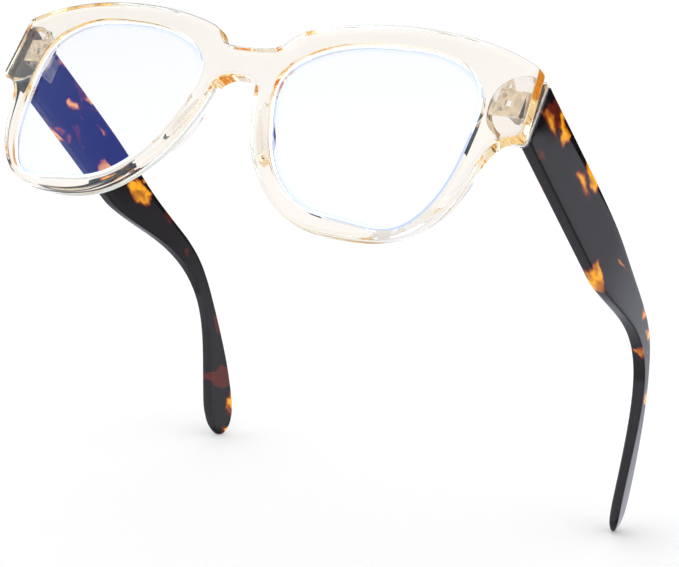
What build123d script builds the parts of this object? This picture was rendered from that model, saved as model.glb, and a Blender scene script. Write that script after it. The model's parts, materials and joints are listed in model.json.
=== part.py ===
from build123d import *
from math import asin, atan2, cos, degrees, radians, sin, sqrt
import os

# Blue light glasses: a crystal acetate front, two plain lenses and two tortoise temples that fold on
# barrel hinges.  Everything is modelled on the wearer's left side (+X) and mirrored to the right.
#
# Design frame, in millimetres: X to the wearer's left, Y from the front of the glasses towards the ears,
# Z up along the front.  Y = 0 is the front of the bridge and Z = 0 is half way up the lenses.
# The finished pieces are then tipped so that the rims and the temple tips stand on Z = 0.

# ---------------------------------------------------------------- front
LENS_WIDTH = 52.0          # boxed width of a lens opening
LENS_HEIGHT = 42.0         # boxed height of a lens opening
BRIDGE = 22.6              # gap between the two lens openings
FRONT_WIDTH = 150.0        # over the two end pieces
FRONT_THICKNESS = 4.2      # acetate sheet
WRAP_RADIUS = 880.0        # the front is bent round a vertical axis behind it
BROW_RIM = 5.2             # rim above the lens at the brow's peak
BOTTOM_RIM = 3.7           # rim under the lens
NOSE_RIM = 4.6             # rim beside the nose, at mid height
BRIDGE_DEPTH = 7.8         # height of the bridge's bar
BRIDGE_DROP = 4.2          # from the top of the lens box down to the bar
END_PIECE_TOP = 19.8       # outer top corner above the lens centre line
END_PIECE_HEIGHT = 16.2    # height of the outer edge of an end piece
END_PIECE_CUT = 1.0        # cut across the lower corner of an end piece
BROW_STEP = 3.2            # width of the step between the bar and the brow

# ---------------------------------------------------------------- lenses
LENS_THICKNESS = 2.0
GROOVE_DEPTH = 0.7         # how far a lens sits in its rim
LENS_SETBACK = 1.1         # front of the lens behind the front face of the rim

# ---------------------------------------------------------------- nose pads
PAD_HEIGHT = 17.0
PAD_WIDTH = 4.0
PAD_DEPTH = 2.8            # how far a pad stands out behind the rim
PAD_IN_RIM = 0.8           # middle of a pad outwards of the lens opening's nose side
PAD_DROP = 3.5             # middle of a pad below the lens centre line
PAD_LEAN = 24.0            # degrees that the pad's foot leans away from the nose
PAD_ROOT = 1.0             # length that the bent sheet trims off the pad's foot
PAD_CROWN_WIDTH = 0.45     # crown of a pad as shares of its foot
PAD_CROWN_HEIGHT = 0.72
PAD_CROWN_SHIFT = 0.4

# ---------------------------------------------------------------- end blocks
BLOCK_WIDTH = 11.1         # block glued behind an end piece
BLOCK_HEIGHT = 15.6
BLOCK_ROUND = 7.4          # radius of its corners on the lens side
BLOCK_CORNER = 1.2         # radius of its corners beside the temple
BLOCK_BACK = 8.2           # Y of the flat face that the temple butts against
BLOCK_CENTRE_Z = 11.2

# ---------------------------------------------------------------- temples
TEMPLE_THICKNESS = 3.2
TEMPLE_BUTT_GAP = 0.1      # between an open temple and its end block
TEMPLE_TOP_Z = 18.3        # top edge at the hinge
TEMPLE_HEIGHT = 13.5       # at the hinge
TEMPLE_PITCH = 12.4        # degrees that the temple runs down from the hinge
BEND_LENGTH = 90.2         # from the hinge to the top of the ear bend
BEND_DROP = 25.7           # ear bend below the top edge at the hinge
TIP_BACK = 24.9            # tip behind the ear bend
TIP_DROP = 33.6            # tip below the ear bend
BUMP_LENGTH = 47.7         # from the hinge to the lowest point of the deep part
BUMP_HEIGHT = 14.4         # height of the temple there
SPLAY = 0.6                # degrees that the open temple spreads outwards
HUG_START = 45.2           # where the temple starts to curve in round the head
HUG_RADIUS = 250.0
HUG_TURN = 40.0            # degrees of arc drawn, more than the temple is long

# ---------------------------------------------------------------- hinges
HINGE_Z = 12.2
BARREL_RADIUS = 1.3
KNUCKLE_HEIGHT = 1.16
KNUCKLE_GAP = 0.05         # between knuckles of the two leaves
BARREL_INSET = 1.6         # barrel axis inside the temple's inner face
BARREL_OFFSET = 1.5        # barrel axis behind the end block
LEAF_THICKNESS = 0.9
FRONT_LEAF_LENGTH = 5.0
TEMPLE_LEAF_LENGTH = 8.4
LEAF_START = 0.5           # temple leaf behind the temple's butt end
LEAF_WINDOW = 1.5          # square window through the front leaf
WINDOW_FROM_AXIS = 2.2
WEB_HALF = 0.6             # half thickness of a web between a temple knuckle and its leaf
SCREW_RADIUS = 0.6
SCREW_CLEARANCE = 0.05     # radial, in the knuckles that turn
SCREW_HEAD_RADIUS = 1.15
SCREW_HEAD_HEIGHT = 0.6
SCREW_END = 0.5            # how far the screw shows under the barrel
SCREW_SLOT = 0.3
SCREW_SLOT_DEPTH = 0.24
PIN_RADIUS = 0.5           # pins that hold the front leaf in its block
PIN_LENGTH = 1.2
PIN_SPACING = 3.2
PIN_FROM_AXIS = 3.7        # middle of the pins from the barrel's axis
PIN_HEAD_RADIUS = 0.75
PIN_HEAD_HEIGHT = 0.25
ANCHOR_SIDE = 3.4          # side of the triangular anchor loop on the front leaf
ANCHOR_WIRE = 0.6
ANCHOR_INSET = 0.1         # loop inside the end of the leaf
WIRE_WIDTH = 1.1           # core wire across the temple's thickness
WIRE_HEIGHT = 1.4          # core wire up the temple's side
WIRE_DROP = 1.9            # start of the wire below the hinge's middle

# ---------------------------------------------------------------- derived places
half_w, half_h = LENS_WIDTH / 2, LENS_HEIGHT / 2
lens_x = BRIDGE / 2 + half_w
nose_x, ear_x = BRIDGE / 2, BRIDGE / 2 + LENS_WIDTH
side_x = FRONT_WIDTH / 2
temple_y = BLOCK_BACK + TEMPLE_BUTT_GAP
temple_in_x = side_x - TEMPLE_THICKNESS
axis_x, axis_y = temple_in_x - BARREL_INSET, BLOCK_BACK + BARREL_OFFSET
pitch_run = -sin(radians(TEMPLE_PITCH)) / cos(radians(TEMPLE_PITCH))
knuckle_pitch = KNUCKLE_HEIGHT + KNUCKLE_GAP
barrel_height = 5 * KNUCKLE_HEIGHT + 4 * KNUCKLE_GAP
barrel_low, barrel_top = HINGE_Z - barrel_height / 2, HINGE_Z + barrel_height / 2
leaf_end_y = axis_y + TEMPLE_LEAF_LENGTH
FAR = 400.0                # longer than anything that is cut


def wrap_y(x):
    """Y of the front face at x."""
    return WRAP_RADIUS - sqrt(WRAP_RADIUS**2 - x**2)


def front_plane(y=0.0):
    """Sketch plane parallel to the front: local x is X and local y is Z."""
    return Plane(origin=(0, y, 0), x_dir=(1, 0, 0), z_dir=(0, -1, 0))


def side_plane(x=0.0):
    """Sketch plane along a temple: local x is Y and local y is Z."""
    return Plane(origin=(x, 0, 0), x_dir=(0, 1, 0), z_dir=(1, 0, 0))


def bent_sheet(depth, thickness):
    """The slice of the bent front between two depths behind its front face."""
    half_turn = degrees(asin(FRONT_WIDTH / WRAP_RADIUS))
    front_arc = CenterArc((0, WRAP_RADIUS), WRAP_RADIUS - depth, 270 - half_turn, 2 * half_turn)
    back_arc = CenterArc((0, WRAP_RADIUS), WRAP_RADIUS - depth - thickness, 270 - half_turn, 2 * half_turn)
    ends = [Line(front_arc @ 0, back_arc @ 0), Line(front_arc @ 1, back_arc @ 1)]
    return extrude(make_face([front_arc, back_arc, *ends]), FAR / 2, both=True)


def through(sketch, low_y, high_y):
    """A sketch in the front's plane, run from one Y to another."""
    return extrude(front_plane(low_y) * sketch, -(high_y - low_y))


def box_between(low, high):
    size = [b - a for a, b in zip(low, high)]
    middle = [(a + b) / 2 for a, b in zip(low, high)]
    return Pos(*middle) * Box(*size)


# ---------------------------------------------------------------- front and lenses
# Lens shape as shares of half the lens box, from the ear side over the brow to the nose and back.
LENS_SHAPE = [(1.00, 0.08), (0.945, 0.64), (0.62, 0.93), (0.05, 1.00), (-0.57, 0.89), (-0.98, 0.50),
              (-0.93, 0.02), (-0.74, -0.48), (-0.32, -0.90), (0.20, -1.00), (0.68, -0.96), (0.92, -0.55)]


def lens_outline(grow=0.0):
    points = [(lens_x + (half_w + grow) * a, (half_h + grow) * b) for a, b in LENS_SHAPE]
    return make_face(Spline(*points, periodic=True))


def front_outline():
    """Half of the front's outline, from the top of the bridge round to its arch."""
    bar_top = half_h - BRIDGE_DROP
    arch = bar_top - BRIDGE_DEPTH
    corner_low = END_PIECE_TOP - END_PIECE_HEIGHT
    brow = [(nose_x - 0.6, half_h + 0.3), (lens_x - 0.55 * half_w, half_h + 0.68 * BROW_RIM),
            (lens_x + 0.20 * half_w, half_h + BROW_RIM), (lens_x + 0.85 * half_w, half_h + 0.72 * BROW_RIM),
            (side_x - 1.2, END_PIECE_TOP + 0.4)]
    rim = [(side_x - END_PIECE_CUT, corner_low), (ear_x + 6.6, corner_low - 1.8),
           (ear_x + 3.6, -0.30 * half_h), (ear_x + 0.8, -0.66 * half_h),
           (lens_x + 0.76 * half_w, -half_h - 0.3), (lens_x + 0.25 * half_w, -half_h - BOTTOM_RIM),
           (lens_x - 0.40 * half_w, -half_h - 0.42 * BOTTOM_RIM), (nose_x + 2.4, -0.55 * half_h),
           (nose_x - NOSE_RIM + 0.5, 0.06 * half_h), (nose_x - 5.2, arch - 2.0)]
    top = Line((0, bar_top), (nose_x - BROW_STEP, bar_top + 0.3))
    step = Line(top @ 1, brow[0])
    brow_line = Spline(*brow)
    side = Line(brow[-1], (side_x, corner_low + END_PIECE_CUT))
    corner = Line(side @ 1, rim[0])
    rim_line = Spline(*rim)
    arch_line = ThreePointArc(rim[-1], (nose_x - 7.0, arch - 0.2), (0, arch))
    middle = Line((0, arch), (0, bar_top))
    return make_face([top, step, brow_line, side, corner, rim_line, arch_line, middle])


def block_outline():
    """D shape behind an end piece: round towards the lens, straight beside the temple."""
    blank = Pos(side_x - 0.1 - BLOCK_WIDTH / 2, BLOCK_CENTRE_Z) * Rectangle(BLOCK_WIDTH, BLOCK_HEIGHT)
    corners = blank.vertices().sort_by(Axis.X)
    blank = fillet(corners[:2], BLOCK_ROUND)
    corners = blank.vertices().sort_by(Axis.X)
    return fillet(corners[-2:], BLOCK_CORNER)


def lens_solid():
    """One lens with its edge in the groove."""
    plate = bent_sheet(LENS_SETBACK, LENS_THICKNESS)
    return through(lens_outline(GROOVE_DEPTH), -1, BLOCK_BACK) & plate


half_front = through(front_outline(), -1, BLOCK_BACK + 2) & bent_sheet(0, FRONT_THICKNESS)
half_front -= through(lens_outline(), -2, BLOCK_BACK + 2)
lens = lens_solid()
half_front -= lens
front = half_front + mirror(half_front, Plane.YZ)

# ---------------------------------------------------------------- nose pads
pad_x, pad_z = nose_x + PAD_IN_RIM, -PAD_DROP


def nose_pad():
    """A rounded acetate pad glued on the back of the rim beside the nose."""
    foot = Rot(0, 0, PAD_LEAN) * Ellipse(PAD_WIDTH / 2, PAD_HEIGHT / 2)
    crown = Rot(0, 0, PAD_LEAN) * Ellipse(PAD_CROWN_WIDTH * PAD_WIDTH / 2, PAD_CROWN_HEIGHT * PAD_HEIGHT / 2)
    low_y = wrap_y(pad_x) + FRONT_THICKNESS - PAD_ROOT
    high_y = low_y + PAD_ROOT + PAD_DEPTH
    sections = [front_plane(low_y) * Pos(pad_x, pad_z) * foot,
                front_plane(high_y) * Pos(pad_x + PAD_CROWN_SHIFT, pad_z) * crown]
    return loft(sections) - bent_sheet(-FRONT_THICKNESS, 2 * FRONT_THICKNESS)


pad = nose_pad()

# ---------------------------------------------------------------- hinges


def knuckle(index):
    low = barrel_low + index * knuckle_pitch
    return Pos(axis_x, axis_y, low + KNUCKLE_HEIGHT / 2) * Cylinder(BARREL_RADIUS, KNUCKLE_HEIGHT)


def front_hinge():
    """Leaf sunk in the end block, with the three knuckles that the screw is tight in."""
    leaf = box_between((axis_x - FRONT_LEAF_LENGTH, BLOCK_BACK - LEAF_THICKNESS, barrel_low),
                       (axis_x + BARREL_RADIUS, BLOCK_BACK, barrel_top))
    window = (LEAF_WINDOW, 2 * LEAF_THICKNESS, LEAF_WINDOW)
    leaf -= Pos(axis_x - WINDOW_FROM_AXIS, BLOCK_BACK, HINGE_Z) * Box(*window)
    for index in (0, 2, 4):
        low = barrel_low + index * knuckle_pitch
        web = box_between((axis_x - BARREL_RADIUS, BLOCK_BACK - LEAF_THICKNESS / 2, low),
                          (axis_x + BARREL_RADIUS, axis_y, low + KNUCKLE_HEIGHT))
        leaf += web + knuckle(index)
    return leaf - Pos(axis_x, axis_y, HINGE_Z) * Cylinder(SCREW_RADIUS, 2 * barrel_height)


def temple_hinge():
    """Leaf sunk in the temple's inner face, with the two knuckles that turn on the screw."""
    leaf = box_between((temple_in_x, temple_y + LEAF_START, barrel_low),
                       (temple_in_x + LEAF_THICKNESS, leaf_end_y, barrel_top))
    for index in (1, 3):
        low = barrel_low + index * knuckle_pitch
        web = box_between((axis_x, axis_y - WEB_HALF, low),
                          (temple_in_x + LEAF_THICKNESS / 2, axis_y + BARREL_RADIUS, low + KNUCKLE_HEIGHT))
        leaf += web + knuckle(index)
    return leaf - Pos(axis_x, axis_y, HINGE_Z) * Cylinder(SCREW_RADIUS + SCREW_CLEARANCE, 2 * barrel_height)


def hinge_screw():
    """Slotted screw from the top of the barrel, its end showing below."""
    length = barrel_height + SCREW_END
    shank = Pos(axis_x, axis_y, barrel_top - length / 2) * Cylinder(SCREW_RADIUS, length)
    head = Cylinder(SCREW_HEAD_RADIUS, SCREW_HEAD_HEIGHT)
    head = Pos(axis_x, axis_y, barrel_top + SCREW_HEAD_HEIGHT / 2) * head
    slot = Box(SCREW_SLOT, 3 * SCREW_HEAD_RADIUS, 2 * SCREW_SLOT_DEPTH)
    slot = Pos(axis_x, axis_y, barrel_top + SCREW_HEAD_HEIGHT) * slot
    return shank + head - slot


def hinge_anchor():
    """Triangular wire loop brazed on the upper edge of the front leaf, inside the end block."""
    base_z = HINGE_Z + barrel_height / 2
    left_x = axis_x - FRONT_LEAF_LENGTH + ANCHOR_INSET
    tall = ANCHOR_SIDE * sqrt(3) / 2
    points = [(left_x, base_z), (left_x + ANCHOR_SIDE, base_z), (left_x + ANCHOR_SIDE / 2, base_z + tall)]
    triangle = make_face(Polyline(*points, close=True))
    loop = triangle - offset(triangle, -ANCHOR_WIRE)
    return through(loop, BLOCK_BACK - LEAF_THICKNESS, BLOCK_BACK - LEAF_THICKNESS + ANCHOR_WIRE)


def leaf_pins():
    """Two headed pins through the front leaf into the end block."""
    pins = []
    for side in (-1, 1):
        place = Pos(axis_x - PIN_FROM_AXIS, BLOCK_BACK, HINGE_Z + side * PIN_SPACING / 2) * Rot(90, 0, 0)
        shank = place * Pos(0, 0, PIN_LENGTH / 2) * Cylinder(PIN_RADIUS, PIN_LENGTH)
        head = place * Pos(0, 0, -PIN_HEAD_HEIGHT / 2) * Cylinder(PIN_HEAD_RADIUS, PIN_HEAD_HEIGHT)
        pins.append(shank + head)
    return pins


pins = leaf_pins()
front_leaf, temple_leaf, screw, anchor = front_hinge(), temple_hinge(), hinge_screw(), hinge_anchor()
for pin in pins:
    front_leaf -= pin
block = through(block_outline(), wrap_y(ear_x), BLOCK_BACK)
block -= bent_sheet(-FRONT_THICKNESS, 2 * FRONT_THICKNESS)
block -= front_leaf + anchor
for pin in pins:
    block -= pin

# ---------------------------------------------------------------- temples


def strip_plan(inner, outer):
    """Plan of a band along the temple, between two distances outside its inner face."""
    lead = 2.0                 # the band starts this far in front of the temple
    start = (temple_in_x, temple_y - lead)
    heading = (sin(radians(SPLAY)), cos(radians(SPLAY)))
    knee = (start[0] + heading[0] * (HUG_START + lead), start[1] + heading[1] * (HUG_START + lead))
    centre = (knee[0] - HUG_RADIUS * heading[1], knee[1] + HUG_RADIUS * heading[0])
    outward = (heading[1], -heading[0])

    def edge(distance):
        a = (start[0] + outward[0] * distance, start[1] + outward[1] * distance)
        b = (knee[0] + outward[0] * distance, knee[1] + outward[1] * distance)
        radius = HUG_RADIUS + distance
        first = degrees(atan2(b[1] - centre[1], b[0] - centre[0]))
        arc = CenterArc(centre, radius, first, HUG_TURN)
        return Line(a, b), arc

    in_line, in_arc = edge(inner)
    out_line, out_arc = edge(outer)
    ends = [Line(in_line @ 0, out_line @ 0), Line(in_arc @ 1, out_arc @ 1)]
    return extrude(make_face([in_line, in_arc, out_line, out_arc, *ends]), FAR / 2, both=True)


def temple_points():
    """Top and bottom edges of the temple's side view, as (Y, Z), and the middle of its rounded tip."""
    bend = (temple_y + BEND_LENGTH, TEMPLE_TOP_Z - BEND_DROP)
    bump_y = temple_y + BUMP_LENGTH
    bump_top = TEMPLE_TOP_Z + pitch_run * BUMP_LENGTH * 0.94
    tip = (bend[0] + TIP_BACK, bend[1] - TIP_DROP)
    top = [(bump_y, bump_top), (bend[0] - 21.5, bend[1] + 9.2), (bend[0] - 3.5, bend[1] + 3.2),
           (bend[0] + 8.0, bend[1] - 6.4), (bend[0] + 19.2, bend[1] - 17.8), (tip[0] + 3.4, tip[1] + 3.0)]
    bottom = [(tip[0] - 4.2, tip[1] - 1.2), (bend[0] + 12.4, bend[1] - 19.3), (bend[0] + 1.4, bend[1] - 4.6),
              (bend[0] - 11.0, bend[1] + 0.6), (bend[0] - 25.5, bend[1] + 1.4),
              (bump_y, bump_top - BUMP_HEIGHT)]
    return top, bottom, tip


def temple_side():
    top, bottom, tip = temple_points()
    start_top = (temple_y, TEMPLE_TOP_Z)
    start_low = (temple_y, TEMPLE_TOP_Z - TEMPLE_HEIGHT)
    top_line = Line(start_top, top[0])
    top_curve = Spline(*top)
    cap = ThreePointArc(top[-1], (tip[0] + 2.4, tip[1] - 4.0), bottom[0])
    low_curve = Spline(*bottom)
    low_line = Line(bottom[-1], start_low)
    butt = Line(start_low, start_top)
    return make_face([top_line, top_curve, cap, low_curve, low_line, butt])


def wire_side():
    """Side view of the core wire: a band of even height down the middle of the temple."""
    top, bottom, tip = temple_points()
    start = (leaf_end_y, HINGE_Z - WIRE_DROP)
    pairs = [(top[0], bottom[5]), (top[2], bottom[3]), (top[3], bottom[2]), (top[4], bottom[1])]
    middle = [((a[0] + b[0]) / 2, (a[1] + b[1]) / 2) for a, b in pairs]
    path = Spline(start, *middle)
    return make_face(trace(path, WIRE_HEIGHT).faces()[0].wire())


wire_depth = LEAF_THICKNESS
wire_plan = strip_plan(wire_depth - WIRE_WIDTH / 2, wire_depth + WIRE_WIDTH / 2)
wire = extrude(side_plane() * wire_side(), FAR) & wire_plan
wire &= box_between((0, leaf_end_y, -FAR), (FAR, FAR, FAR))
temple = extrude(side_plane() * temple_side(), FAR) & strip_plan(0, TEMPLE_THICKNESS)
temple = temple - wire - temple_leaf

# ---------------------------------------------------------------- standing on the rims and the tips
def lowest(piece, angle):
    return (Rot(angle, 0, 0) * piece).bounding_box().min.Z


stance = temple_points()[2][0] - wrap_y(lens_x) - FRONT_THICKNESS
tilt = 0.0
for attempt in range(5):     # each attempt closes nearly all of the gap that the last one left
    tilt += degrees(atan2(lowest(half_front, tilt) - lowest(temple, tilt), stance))

left_pieces = {
    "lens": lens, "nose_pad": pad, "end_block": block, "front_hinge": front_leaf, "hinge_anchor": anchor,
    "leaf_pins": Compound(children=pins), "hinge_screw": screw, "temple": temple,
    "temple_hinge": temple_leaf, "core_wire": wire}
nodes = {"front_frame": front}
for name, piece in left_pieces.items():
    nodes[name + "_left"] = piece
    nodes[name + "_right"] = mirror(piece, Plane.YZ)

tipped = {name: Rot(tilt, 0, 0) * piece for name, piece in nodes.items()}
box = Compound(children=[Compound(piece.solids()) for piece in tipped.values()]).bounding_box()
stand = Pos(0, -(box.min.Y + box.max.Y) / 2, -box.min.Z)

os.makedirs("parts", exist_ok=True)
for name, piece in tipped.items():
    export_step(stand * piece, f"parts/{name}.step")

axis_point = stand * Rot(tilt, 0, 0) * Pos(axis_x, axis_y, HINGE_Z)
print("tilt", round(tilt, 3), "hinge point", [round(v, 4) for v in axis_point.position])
print("hinge direction", [round(v, 6) for v in (0, -sin(radians(tilt)), cos(radians(tilt)))])
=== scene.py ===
"""Blue light glasses: surfaces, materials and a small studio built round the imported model."""
import json

import bmesh
import bpy
import numpy as np
from bpy.props import FloatProperty, FloatVectorProperty, PointerProperty
from mathutils import Matrix, Vector


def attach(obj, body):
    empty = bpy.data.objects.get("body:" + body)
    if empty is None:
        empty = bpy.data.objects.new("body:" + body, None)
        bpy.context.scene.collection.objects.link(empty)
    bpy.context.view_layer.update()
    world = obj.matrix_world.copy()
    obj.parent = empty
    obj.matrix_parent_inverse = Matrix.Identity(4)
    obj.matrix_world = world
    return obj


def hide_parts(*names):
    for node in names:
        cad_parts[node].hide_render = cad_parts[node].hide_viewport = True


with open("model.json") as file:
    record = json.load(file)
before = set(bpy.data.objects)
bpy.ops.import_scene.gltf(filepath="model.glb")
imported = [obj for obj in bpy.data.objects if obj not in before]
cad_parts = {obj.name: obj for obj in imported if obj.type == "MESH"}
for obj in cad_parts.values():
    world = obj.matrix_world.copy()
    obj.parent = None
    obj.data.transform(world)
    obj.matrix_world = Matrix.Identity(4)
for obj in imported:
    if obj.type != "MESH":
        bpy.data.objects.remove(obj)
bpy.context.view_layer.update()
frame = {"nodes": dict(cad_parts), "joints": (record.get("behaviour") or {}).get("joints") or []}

bl_info = {
    "name": "Acetate Glasses",
    "version": (1, 0, 0),
    "blender": (4, 5, 0),
    "location": "3D View > Sidebar > Glasses",
    "description": "Crystal acetate front, coated lenses, tortoise temples and their hinges",
    "category": "Add Mesh",
}

SIDES = {"left": 1, "right": -1}     # the wearer's left is +X

# Shapes are worked out in millimetres in the front's own frame: X to the wearer's left, Y from the front
# face towards the ears, Z up along the front with 0 half way up the lenses.  The hinge's axis from the
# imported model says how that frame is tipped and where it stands.
MM = 0.001
HINGE = next(j for j in frame["joints"] if j["name"] == "left_temple_fold")
TIP_SIN, TIP_COS = -HINGE["axis"][1], HINGE["axis"][2]
HINGE_YZ = (9.7, 12.2)              # the hinge axis point in the front's frame
BLOCK_BACK = 8.2                    # flat back of an end block, which the temple butts against
BUTT_GAP = 0.1                      # open seam between a temple and its block
GLUE_GAP = 0.03                     # between pieces that are glued face to face
FLUSH_GAP = 0.02                    # metal let into acetate stands this far proud of it
BONDED = 1e-6                       # points nearer than this, in metres, are one point


def to_row(points):
    """Front frame in mm to the row frame in m: a turn about X by the tip angle, then the shift that puts
    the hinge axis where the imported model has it."""
    x, y, z = np.moveaxis(np.asarray(points, float), -1, 0)
    hinge_y, hinge_z = HINGE_YZ
    row_y = TIP_COS * (y - hinge_y) - TIP_SIN * (z - hinge_z)
    row_z = TIP_SIN * (y - hinge_y) + TIP_COS * (z - hinge_z)
    return np.stack([x * MM, row_y * MM + HINGE["pos_m"][1], row_z * MM + HINGE["pos_m"][2]], -1)


# ---------------------------------------------------------------- sizes and colours a user would change
def length(name, text, mm):
    return FloatProperty(name=name, description=text, default=mm * MM, unit="LENGTH", precision=5)


def colour(name, text, rgb):
    return FloatVectorProperty(name=name, description=text, default=rgb, subtype="COLOR", min=0.0, max=1.0)


class GlassesFront(bpy.types.PropertyGroup):
    lens_width: length("Lens width", "Boxed width of a lens opening", 52.0)
    lens_height: length("Lens height", "Boxed height of a lens opening", 42.0)
    bridge: length("Bridge", "Gap between the two lens openings", 22.6)
    width: length("Width", "Over the two end pieces", 150.0)
    thickness: length("Thickness", "Acetate sheet", 4.2)
    wrap_radius: length("Wrap radius", "Radius that the front is bent to", 880.0)
    brow_rim: length("Brow rim", "Rim above the lens at the brow's peak", 5.2)
    bottom_rim: length("Bottom rim", "Rim under the lens", 3.7)
    nose_rim: length("Nose rim", "Rim beside the nose", 4.6)
    bar_drop: length("Bar drop", "Top of the bridge below the top of a lens opening", 4.2)
    bridge_height: length("Bridge height", "Bridge from its top to the arch over the nose", 7.8)
    end_rise: length("End piece rise", "Top of an end piece above the middle of the lenses", 19.8)
    end_height: length("End piece height", "End piece from top to bottom", 16.2)
    outer_round: length("Outer rounding", "Radius of the tumbled outer edges", 1.0)
    lens_bevel: length("Lens side bevel", "Bevel between the front face and a lens opening", 0.6)
    crown: length("Crown", "How far the faces fall away towards their edges", 0.01)
    tint: colour("Acetate tint", "Surface tint of the crystal acetate", (0.975, 0.965, 1.0))
    depth_tint: colour("Depth tint", "Colour that light keeps on a long way through", (0.98, 0.74, 0.16))
    depth: FloatProperty(name="Depth strength", description="Absorption per metre of acetate", default=42.0)


class GlassesLens(bpy.types.PropertyGroup):
    thickness: length("Thickness", "Plain lens", 2.0)
    setback: length("Setback", "Front of the lens behind the front face of the rim", 1.1)
    groove: length("Groove", "How far the lens sits in its rim", 0.62)
    tint: colour("Lens tint", "Body of the lens", (0.955, 0.968, 0.99))
    # painted sheen: a bluer base colour over the rim of the lens, standing in for the coating's blue
    # reflection there
    edge_painted_sheen: colour("Edge painted sheen", "Rim of the lens, where the coating gathers light", (0.60, 0.80, 1.0))
    # painted glow: an emission on the ground edge of the lens, standing in for light that the edge gives
    # back
    edge_painted_glow: colour("Edge painted glow", "Light that the ground edge of the lens gives back", (0.66, 0.78, 0.94))
    coating: colour("Coating", "Colour that the blue light coating reflects", (0.0, 0.06, 1.0))


class GlassesPad(bpy.types.PropertyGroup):
    width: length("Width", "Across the foot of a pad", 4.0)
    height: length("Height", "Along the foot of a pad", 17.0)
    depth: length("Depth", "How far a pad stands out behind the rim", 2.8)
    in_rim: length("Into the rim", "Middle of a pad outwards of the lens opening's nose side", 0.8)
    drop: length("Drop", "Middle of a pad below the middle of the lenses", 3.5)
    shift: length("Shift", "Crown of a pad outwards of the middle of its foot", 0.4)
    lean: FloatProperty(name="Lean", description="Turn of the foot away from the nose",
                        default=np.radians(24.0), unit="ROTATION")


class GlassesBlock(bpy.types.PropertyGroup):
    width: length("Width", "Across a block", 11.1)
    height: length("Height", "Height of a block", 15.6)
    rise: length("Rise", "Middle of a block above the middle of the lenses", 11.2)
    inset: length("Inset", "Outer side of a block inside the end of the front", 0.1)
    inner_round: length("Inner rounding", "Corners on the lens side, which make it a D", 7.4)
    outer_round: length("Outer rounding", "Corners on the temple side", 1.2)
    back_edge: length("Back edge", "Rounding of the edge at the temple", 0.25)
    front_edge: length("Front edge", "Rounding of the glued edge", 0.15)


class GlassesTemple(bpy.types.PropertyGroup):
    top: length("Top", "Top edge at the hinge above the middle of the lenses", 18.3)
    height: length("Height", "Height at the hinge", 13.5)
    deep_height: length("Deep height", "Height at the deepest place", 14.4)
    deep_at: length("Deep place", "Deepest place behind the hinge end", 47.7)
    bend_at: length("Bend", "Top of the ear bend behind the hinge end", 90.2)
    bend_drop: length("Bend drop", "Ear bend below the top edge at the hinge", 25.7)
    tip_back: length("Tip back", "Tip behind the ear bend", 24.9)
    tip_drop: length("Tip drop", "Tip below the ear bend", 33.6)
    hug_at: length("Hug", "Where a temple starts to curve in round the head", 45.2)
    hug_radius: length("Hug radius", "Radius of that curve", 250.0)
    thickness: length("Thickness", "Acetate sheet of a temple", 3.2)
    tip_thickness: length("Tip thickness", "Sheet at the tip, where it is filed thinner", 2.6)
    edge_round: length("Edge rounding", "Radius of a temple's long edges", 0.5)
    tip_round: length("Tip rounding", "Radius of the same edges at the tip", 0.9)
    flake: length("Flake size", "Usual length of an amber flake", 4.6)
    dark: colour("Dark", "Ground colour of the tortoise acetate", (0.007, 0.004, 0.005))
    rust: colour("Rust", "Rim of an amber flake", (0.22, 0.022, 0.006))
    amber: colour("Amber", "Heart of an amber flake", (1.0, 0.42, 0.012))


class GlassesHinge(bpy.types.PropertyGroup):
    edge_round: length("Edge rounding", "Broken edges of the hinge parts", 0.08)
    leaf: colour("Leaf", "Gold plated hinge leaves", (0.96, 0.87, 0.70))
    steel: colour("Steel", "Screws and pins", (0.74, 0.70, 0.62))
    wire: colour("Core wire", "Nickel silver wire in the temples", (0.66, 0.62, 0.55))


class GlassesStage(bpy.types.PropertyGroup):
    floor: colour("Floor", "Pale studio floor", (0.93, 0.93, 0.93))
    surround: FloatProperty(name="Surround", description="Strength of the white surround", default=1.0)
    softbox: FloatProperty(name="Softbox", description="Power of the overhead softbox", default=0.4,
                           unit="POWER")
    lens: FloatProperty(name="Lens", description="Camera lens in mm on a 36 mm sensor", default=102.34)


def sizes(group):
    """The lengths of a property group in millimetres, by name."""
    found = {}
    for name, prop in group.bl_rna.properties.items():
        if prop.type == "FLOAT" and prop.unit == "LENGTH":
            found[name] = getattr(group, name) / MM
    return found


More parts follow.
